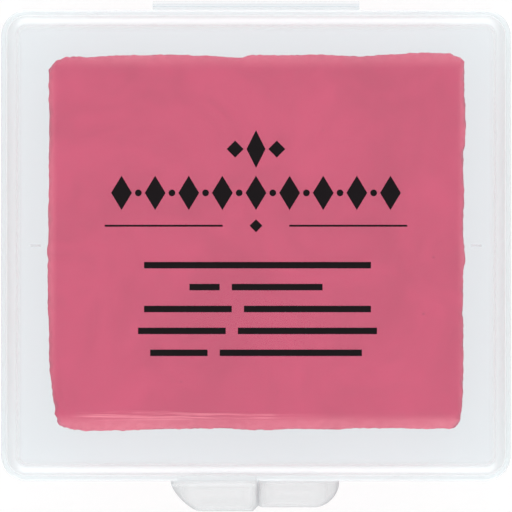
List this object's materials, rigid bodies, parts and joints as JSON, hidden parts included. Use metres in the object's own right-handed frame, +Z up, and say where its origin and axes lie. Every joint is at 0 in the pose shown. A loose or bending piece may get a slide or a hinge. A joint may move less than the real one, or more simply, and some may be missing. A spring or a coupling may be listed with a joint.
{
  "type": "kneaded eraser in hinged case",
  "caption": "Square slab of kneadable putty eraser in a frosted flat case with a snap lid on a living hinge and thumb tabs in front.",
  "frame": {"origin": "middle of the case's flat underside, on the surface that it stands on", "axes": "+Z up through the lid, +Y towards the hinge, +X to the right as seen from the thumb tabs"},
  "size_m": [0.049, 0.0491, 0.0126],
  "materials": {
    "frosted_case": "frosted translucent polypropylene, satin",
    "putty": "matt kneadable putty, faintly mottled",
    "ink": "thin printed ink, near black"
  },
  "bodies": {
    "base": {"case_base": "frosted_case", "eraser": "putty", "living_hinge": "frosted_case"},
    "lid": {"case_lid": "frosted_case", "lid_print": "ink"}
  },
  "joints": [
    {"name": "lid_hinge", "type": "hinge", "parent": "base", "child": "lid", "pos_m": [0, 0.02361, 0.0078], "axis": [-1, 0, 0], "range_deg": [0, 180], "deforming": ["living_hinge"]}
  ]
}
